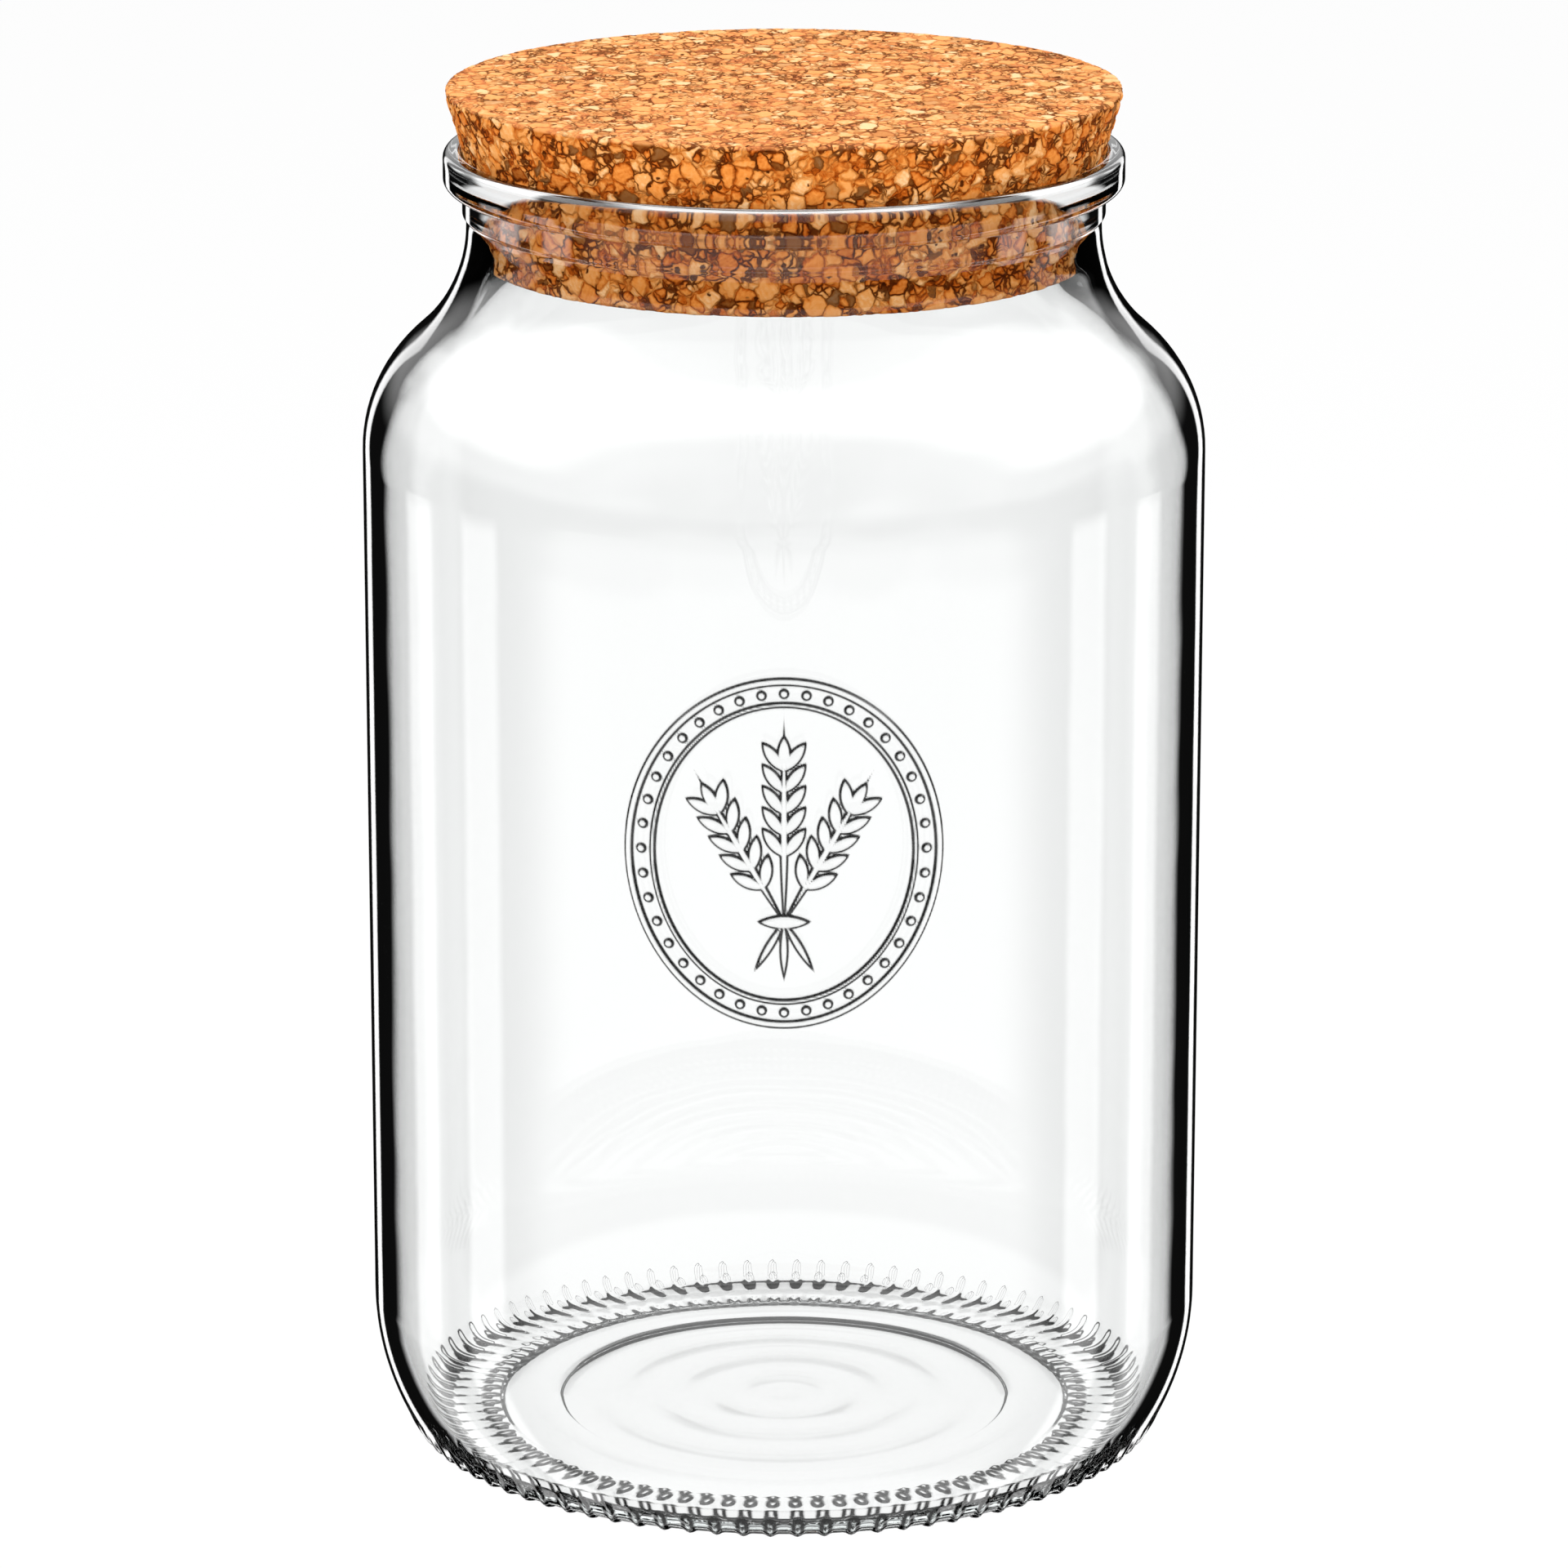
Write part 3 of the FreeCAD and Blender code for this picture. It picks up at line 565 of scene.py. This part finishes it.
# Painted shade: the base colour is painted near black along the moulding's flanks, in place of light that the
# relief turns away.
painted_flank_shade = wire.maths("ABSOLUTE", to_outline).ease(*PAINTED_SHADE_LINE)
ripple = wire.node("ShaderNodeTexNoise", {}, {"Vector": place, "Scale": 45, "Detail": 1, "Roughness": 0.4})
smudge = wire.node("ShaderNodeTexNoise", {}, {"Vector": place, "Scale": 28, "Detail": 4, "Roughness": 0.6})
tone = painted_flank_shade.blend(CLEAR, FLANK_PAINTED_SHADE)
wavy = wire.node("ShaderNodeBump", {}, {"Strength": 0.03, "Distance": 0.002, "Height": ripple})
body = wire.node(
    "ShaderNodeBsdfPrincipled", {},
    {"Base Color": tone, "Roughness": smudge.ease(0.55, 0.8) * 0.015, "Normal": wavy,
     "Transmission Weight": 1.0, "IOR": 1.46},
)
tint = wire.node("ShaderNodeVolumeAbsorption", {}, {"Color": GLASS_TINT, "Density": 2.5})
wire.node("ShaderNodeOutputMaterial", {}, {"Surface": body, "Volume": tint})
jar.data.materials.clear()
jar.data.materials.append(glass)
print("finish", glass.name, "with", len(glass.node_tree.nodes), "nodes")

# %% [markdown]
# ## The cork lid
# The lid is a tapered disc of cork grains pressed together with glue. Its side shows torn grains with gaps
# between them, its top is sanded flatter, and below the rim it follows the mouth at an even gap.
# A plain cone with a texture would look printed, so the grains are in the mesh as well: the outline is drawn
# with many points, spun, and a node modifier sinks the gaps between grains.

# %% Draw and spin the cork
CORK_BOTTOM, CORK_TOP, CORK_TOP_RADIUS, CORK_GAP = 223.5, 255.3, 62.0, 0.25
STEP_LEVEL = (STEP_RADIUS - CORK_GAP, STEP_HEIGHT)
SEAT_LEVEL = (SEAT_RADIUS - CORK_GAP, SEAT_HEIGHT)
CORK_BOTTOM_RADIUS = SEAT_LEVEL[0] - PLUG_TAPER * (SEAT_HEIGHT - CORK_BOTTOM)
CORK_COLUMNS, CORK_MARGIN, CORK_EDGE, STEP_ROUNDING = 140, 1.4, 0.8, 1.5
bottom_corner = (CORK_BOTTOM_RADIUS - 0.3, CORK_BOTTOM)
bottom_edge = (CORK_BOTTOM_RADIUS + 0.05, CORK_BOTTOM + 0.6)
top_corner, top_edge = (CORK_TOP_RADIUS - 0.3, CORK_TOP - 0.15), (CORK_TOP_RADIUS - 1.2, CORK_TOP)
cork_line = Outline("cork_grains", 0, CORK_BOTTOM)
cork_line.line_to(CORK_BOTTOM_RADIUS - CORK_MARGIN, CORK_BOTTOM, 12)
cork_line.corner_to(bottom_corner, bottom_edge, 0.3, 2)
cork_line.line_to(SEAT_LEVEL[0] - PLUG_TAPER * SEAT_ROUNDING, SEAT_HEIGHT - SEAT_ROUNDING, 13)
cork_line.corner_to(SEAT_LEVEL, STEP_LEVEL, STEP_ROUNDING, 4)
cork_line.corner_to(STEP_LEVEL, (CORK_TOP_RADIUS, CORK_TOP), STEP_ROUNDING, 4)
cork_line.line_to(CORK_TOP_RADIUS - TAPER * CORK_EDGE, CORK_TOP - CORK_EDGE, 28)
cork_line.corner_to(top_corner, top_edge, 0.5, 3)
cork_line.line_to(CORK_TOP_RADIUS - CORK_MARGIN, CORK_TOP)
cork_line.line_to(6, CORK_TOP, 78)
cork_line.line_to(0, CORK_TOP, 3)
cork = cork_line.spin(CORK_COLUMNS)
select(cork, "EDGE", ring_edges(cork)[0])
subdivide(cork, 3, CORK_COLUMNS)
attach(cork, "lid")
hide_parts("cork_lid")


# %% Grains, shared by the mesh and the finish
BIG_GRAINS, SMALL_GRAINS, WANDER, STRETCH = 330, 550, 0.0022, (1, 0.7, 1)
HALF = (0.5, 0.5, 0.5)


def grain_pattern(place):
    """Millimetres to a grain's edge, and three numbers of its own for each grain, at a place in metres."""
    wander = place.node("ShaderNodeTexNoise", {}, {"Vector": place, "Scale": 420, "Detail": 2}, "Color")
    centred = place.node("ShaderNodeVectorMath", {"operation": "SUBTRACT"}, {0: wander, 1: HALF})
    stretched = place.node("ShaderNodeVectorMath", {"operation": "MULTIPLY"}, {0: place, 1: STRETCH})
    product = {0: centred, 1: (WANDER,) * 3, 2: stretched}
    strayed = place.node("ShaderNodeVectorMath", {"operation": "MULTIPLY_ADD"}, product)
    big_cells = {"Vector": strayed, "Scale": BIG_GRAINS}
    small_cells = {"Vector": strayed, "Scale": SMALL_GRAINS}
    big_own = place.node("ShaderNodeTexVoronoi", {"feature": "F1"}, big_cells, "Color")
    small_own = place.node("ShaderNodeTexVoronoi", {"feature": "F1"}, small_cells, "Color")
    big_edge = place.node("ShaderNodeTexVoronoi", {"feature": "DISTANCE_TO_EDGE"}, big_cells)
    small_edge = place.node("ShaderNodeTexVoronoi", {"feature": "DISTANCE_TO_EDGE"}, small_cells)
    is_big = place.node("ShaderNodeSeparateXYZ", {}, {0: big_own}, 0).ease(0.6, 0.61)
    edge = place.maths("MINIMUM", big_edge / BIG_GRAINS / MM, small_edge / SMALL_GRAINS / MM + is_big * FAR)
    return edge, is_big.blend(small_own, big_own), strayed


# %% Sink the gaps between the grains
GAP_DEPTH, GRAIN_DEPTH, SANDED_OFF = 0.3, 0.35, 0.7
PLUG_EDGE = (0.227, 0.2245)
relief = bpy.data.node_groups.new("cork_relief", "GeometryNodeTree")
relief.interface.new_socket("Geometry", in_out="INPUT", socket_type="NodeSocketGeometry")
relief.interface.new_socket("Geometry", in_out="OUTPUT", socket_type="NodeSocketGeometry")
wire = Wire(relief)
mesh_in = wire.node("NodeGroupInput")
place = wire.node("GeometryNodeInputPosition")
facing = wire.node("GeometryNodeInputNormal")
upright = wire.node("ShaderNodeSeparateXYZ", {}, {0: facing}, 2)
height = wire.node("ShaderNodeSeparateXYZ", {}, {0: place}, 2)
edge, own, _ = grain_pattern(place)
own_depth = wire.node("ShaderNodeSeparateXYZ", {}, {0: own}, 1)
sunk = (1 - edge.ease(0.0, 0.55)) * GAP_DEPTH + own_depth.ease(0.55, 1.0) * GRAIN_DEPTH
kept_share = 1 - wire.maths("MAXIMUM", upright.ease(0.3, 0.9), height.ease(*PLUG_EDGE)) * SANDED_OFF
inwards = {0: facing, "Scale": sunk * kept_share * -MM}
sink = wire.node("ShaderNodeVectorMath", {"operation": "SCALE"}, inwards)
moved = wire.node("GeometryNodeSetPosition", {}, {"Geometry": mesh_in, "Offset": sink})
wire.node("NodeGroupOutput", {}, {0: moved})
sinker = cork.modifiers.new("grains", "NODES")
sinker.node_group = relief
bpy.ops.object.modifier_apply(modifier=sinker.name)
bpy.data.node_groups.remove(relief)
triangles = sum(len(face.vertices) - 2 for face in cork.data.polygons)
print("cork_grains has", triangles, "triangles")

# %% [markdown]
# ## Cork finish
# Cork grains run from pale tan to dark brown, with nearly black cracks and pores. The top is sanded, with
# fewer hollows and cracks, and is painted paler there as a painted sheen. A noise alone would look like
# stone. The same grain pattern that shaped the mesh gives each grain its colour, so cracks and colours agree.

# %% Cork colours
cork_finish, wire = new_finish("pressed_cork")
place = wire.node("ShaderNodeTexCoord", output="Object")
edge, own, strayed = grain_pattern(place)
own_tone = wire.node("ShaderNodeSeparateXYZ", {}, {0: own}, 2)
own_depth = wire.node("ShaderNodeSeparateXYZ", {}, {0: own}, 1)
threads = {"Vector": strayed, "Scale": 1300, "Detail": 3, "Roughness": 0.6}
fibre = wire.node("ShaderNodeTexNoise", {}, threads)
patchy = wire.node("ShaderNodeTexNoise", {}, {"Vector": place, "Scale": 240, "Detail": 2})
slope = wire.node("ShaderNodeVectorMath", {"operation": "SUBTRACT"}, {0: own, 1: HALF})
along = wire.node("ShaderNodeVectorMath", {"operation": "DOT_PRODUCT"}, {0: slope, 1: place}, "Value")
streak = wire.maths("SINE", along * 16000 + fibre * 5)
CORK_TONES = (
    (0.0, (0.13, 0.016, 0.0003)), (0.22, (0.42, 0.085, 0.006)), (0.5, (0.61, 0.205, 0.036)),
    (0.78, (0.66, 0.29, 0.085)), (1.0, (0.72, 0.44, 0.22)),
)
TOP_SHEEN_TONE, CRACK_TONE, SANDED_AND_SHEEN_HEIGHT = (0.9, 0.72, 0.5, 1), (0.05, 0.008, 0.0005, 1), (0.2544, 0.255)
# Painted sheen: the sanded top face is painted paler and less saturated; it also has fewer hollows and
# cracks.
sanded_and_sheen = wire.node("ShaderNodeSeparateXYZ", {}, {0: place}, 2).ease(*SANDED_AND_SHEEN_HEIGHT)
# Each grain is painted darker towards its edge and lighter in its middle, a painted shade that makes it look
# rounded.
shade = own_tone * 0.6 + (fibre - 0.5) * 0.55 + streak * 0.03 + edge.ease(0.0, 0.6) * 0.3 + 0.05
tone = wire.node("ShaderNodeValToRGB", {"stops": CORK_TONES}, {0: shade + sanded_and_sheen * 0.13})
tone = (sanded_and_sheen * 0.08).blend(tone, TOP_SHEEN_TONE)
print("cork tones", len(CORK_TONES))

# %% Cracks, hollows and pores
gap = patchy.ease(0.35, 0.7) * 0.16
crack = (1 - (edge - gap).ease(-0.02, 0.1)) * (patchy.ease(0.38, 0.6) * 0.8 + 0.2)
hollow = own_depth.ease(0.9, 0.93) * (1 - sanded_and_sheen * 0.6)
pore_cells = {"Vector": strayed, "Scale": 640}
from_pore = wire.node("ShaderNodeTexVoronoi", {"feature": "F1"}, pore_cells)
pore_own = wire.node("ShaderNodeTexVoronoi", {"feature": "F1"}, pore_cells, "Color")
pore_pick = wire.node("ShaderNodeSeparateXYZ", {}, {0: pore_own}, 0).ease(0.84, 0.86)
pore = from_pore.ease(0.34, 0.22) * pore_pick
dark = wire.maths("MAXIMUM", crack * (0.9 - sanded_and_sheen * 0.1), hollow * 0.75)
dark = wire.maths("MAXIMUM", dark, pore * 0.95)
tone = dark.blend(tone, CRACK_TONE)
height = edge.ease(0.0, 0.4) + fibre * 0.35 - pore * 0.8 - hollow * 0.6
bump = wire.node("ShaderNodeBump", {}, {"Strength": 0.7, "Distance": 0.0005, "Height": height})
skin = wire.node(
    "ShaderNodeBsdfPrincipled", {},
    {"Base Color": tone, "Roughness": 0.72 + dark * 0.2, "Normal": bump, "Specular IOR Level": 0.03},
)
wire.node("ShaderNodeOutputMaterial", {}, {"Surface": skin})
cork.data.materials.clear()
cork.data.materials.append(cork_finish)
print("finish", cork_finish.name, "with", len(cork_finish.node_tree.nodes), "nodes")

# %% [markdown]
# ## Floor and studio
# The jar stands on a plain white floor in a white room. Clear glass in a room that is white all round would
# vanish, so the studio that shows in reflections is another one: dark, with tall strips of light at the
# sides, as photographers set up for glass. Light Path tells the two apart, and a strength of 1 is white.
# Soft boxes light the cork, and the glass casts no shadow, which would come out black without caustics.

# %% Floor
bpy.ops.object.select_all(action="DESELECT")
bpy.ops.mesh.primitive_plane_add(size=12)
floor = bpy.context.object
floor.name = "floor"
floor_finish, wire = new_finish("white_floor")
seen = wire.node("ShaderNodeLightPath", output="Is Camera Ray")
through = wire.node("ShaderNodeLightPath", output="Is Transmission Ray")
mirrored = wire.node("ShaderNodeLightPath", output="Glossy Depth").ease(0.4, 0.6)
paint = wire.node("ShaderNodeBsdfDiffuse", {}, {"Color": (0.92, 0.92, 0.92, 1)})
glow = wire.node("ShaderNodeEmission", {}, {"Color": (1, 1, 1, 1), "Strength": 1.0})
open_air = wire.node("ShaderNodeBsdfTransparent")
WHITE_SHARE = 0.94
whitened = wire.maths("MAXIMUM", seen, through) * WHITE_SHARE
white = wire.node("ShaderNodeMixShader", {}, {0: whitened, 1: paint, 2: glow})
shown = wire.node("ShaderNodeMixShader", {}, {0: mirrored, 1: white, 2: open_air})
wire.node("ShaderNodeOutputMaterial", {}, {"Surface": shown})
floor.data.materials.append(floor_finish)
print("floor", floor.name)

# %% World: directions and kinds of ray
world = bpy.data.worlds.new("studio")
bpy.context.scene.world = world
world.use_nodes = True
world.node_tree.nodes.clear()
wire = Wire(world.node_tree)
heading = wire.node("ShaderNodeTexCoord", output="Generated")
east = wire.node("ShaderNodeSeparateXYZ", {}, {0: heading}, 0)
north = wire.node("ShaderNodeSeparateXYZ", {}, {0: heading}, 1)
up = wire.node("ShaderNodeSeparateXYZ", {}, {0: heading}, 2)
level = wire.maths("SQRT", east * east + north * north)
forward = north * -1 / wire.maths("MAXIMUM", level, 0.001)
seen = wire.node("ShaderNodeLightPath", output="Is Camera Ray")
through = wire.node("ShaderNodeLightPath", output="Is Transmission Ray")
mirrored = wire.node("ShaderNodeLightPath", output="Glossy Depth").ease(0.4, 0.6)
inside = wire.node("ShaderNodeLightPath", output="Transmission Depth").ease(0.4, 0.6)
print("world", world.name)


# %% World: lights of the studio
def strip(low, high, soft=0.03):
    """A tall light between two values of the forward direction."""
    return forward.ease(low - soft, low + soft) * forward.ease(high + soft, high - soft)


SIDE_POWER, BACK_POWER, THIN_POWER = 3.0, 2.2, 2.6
WHITE, BOX_POWER, OVERHEAD_POWER, AMBIENT, DARKEST = 0.95, 4, 0.9, 0.5, 0.004
low = up.ease(-0.206, -0.222)
strips = (strip(-0.13, 0.1) * SIDE_POWER + strip(-0.56, -0.37) * BACK_POWER) * low
strips = strips + strip(-0.952, -0.909, 0.008) * THIN_POWER
front = forward.ease(0.15, 0.4) * low * WHITE
overhead_box = north.ease(-0.5, -0.15) * north.ease(0.9, 0.6) * up.ease(0.25, 0.45) * BOX_POWER
overhead = up.ease(-0.03, 0.15) * north.ease(-0.8, -0.5) * OVERHEAD_POWER
outer_view = wire.maths("MAXIMUM", strips + front, overhead) + overhead_box
window = forward.ease(-0.84, -0.76) * forward.ease(-0.35, -0.45)
flags = up.ease(-0.85, -0.75) * up.ease(0.24, 0.12) * (1 - window)
inner_view = (1 - flags) * WHITE + front * up.ease(-0.36, -0.335)
reflected = outer_view * (1 - inside) + inner_view * inside + DARKEST
plain = wire.maths("MAXIMUM", seen, through)
strength = mirrored * reflected + (1 - mirrored) * (plain + (1 - plain) * AMBIENT)
backdrop = wire.node("ShaderNodeBackground", {}, {"Color": (1, 1, 1, 1), "Strength": strength})
wire.node("ShaderNodeOutputWorld", {}, {"Surface": backdrop})
print("studio with", len(world.node_tree.nodes), "nodes")


# %% Lamps
def soft_box(name, place, target, width, height, power):
    direction = np.subtract(target, place)
    pitch = math.atan2(math.hypot(direction[0], direction[1]), -direction[2])
    turn = math.atan2(-direction[0], direction[1])
    bpy.ops.object.light_add(type="AREA", location=place, rotation=(pitch, 0, turn))
    lamp = bpy.context.object
    lamp.name = name
    lamp.data.shape = "RECTANGLE"
    lamp.data.size, lamp.data.size_y = width, height
    lamp.data.energy = power
    lamp.visible_camera = lamp.visible_glossy = lamp.visible_transmission = False
    print("lamp", name, "at", place)


LAMP_TARGET = (0, 0, 0.2)
soft_box("top_box", (-0.1, -0.2, 1.5), LAMP_TARGET, 1.0, 1.0, 19)
soft_box("front_box", (-0.6, -1.2, 0.55), LAMP_TARGET, 0.9, 0.9, 13)
soft_box("side_box", (1.0, -0.3, 0.7), LAMP_TARGET, 0.6, 0.9, 7)
jar.visible_shadow = False

# %% [markdown]
# ## Colour view
# The last step sets the view transform to Standard.

# %% Finish
bpy.context.scene.view_settings.view_transform = "Standard"
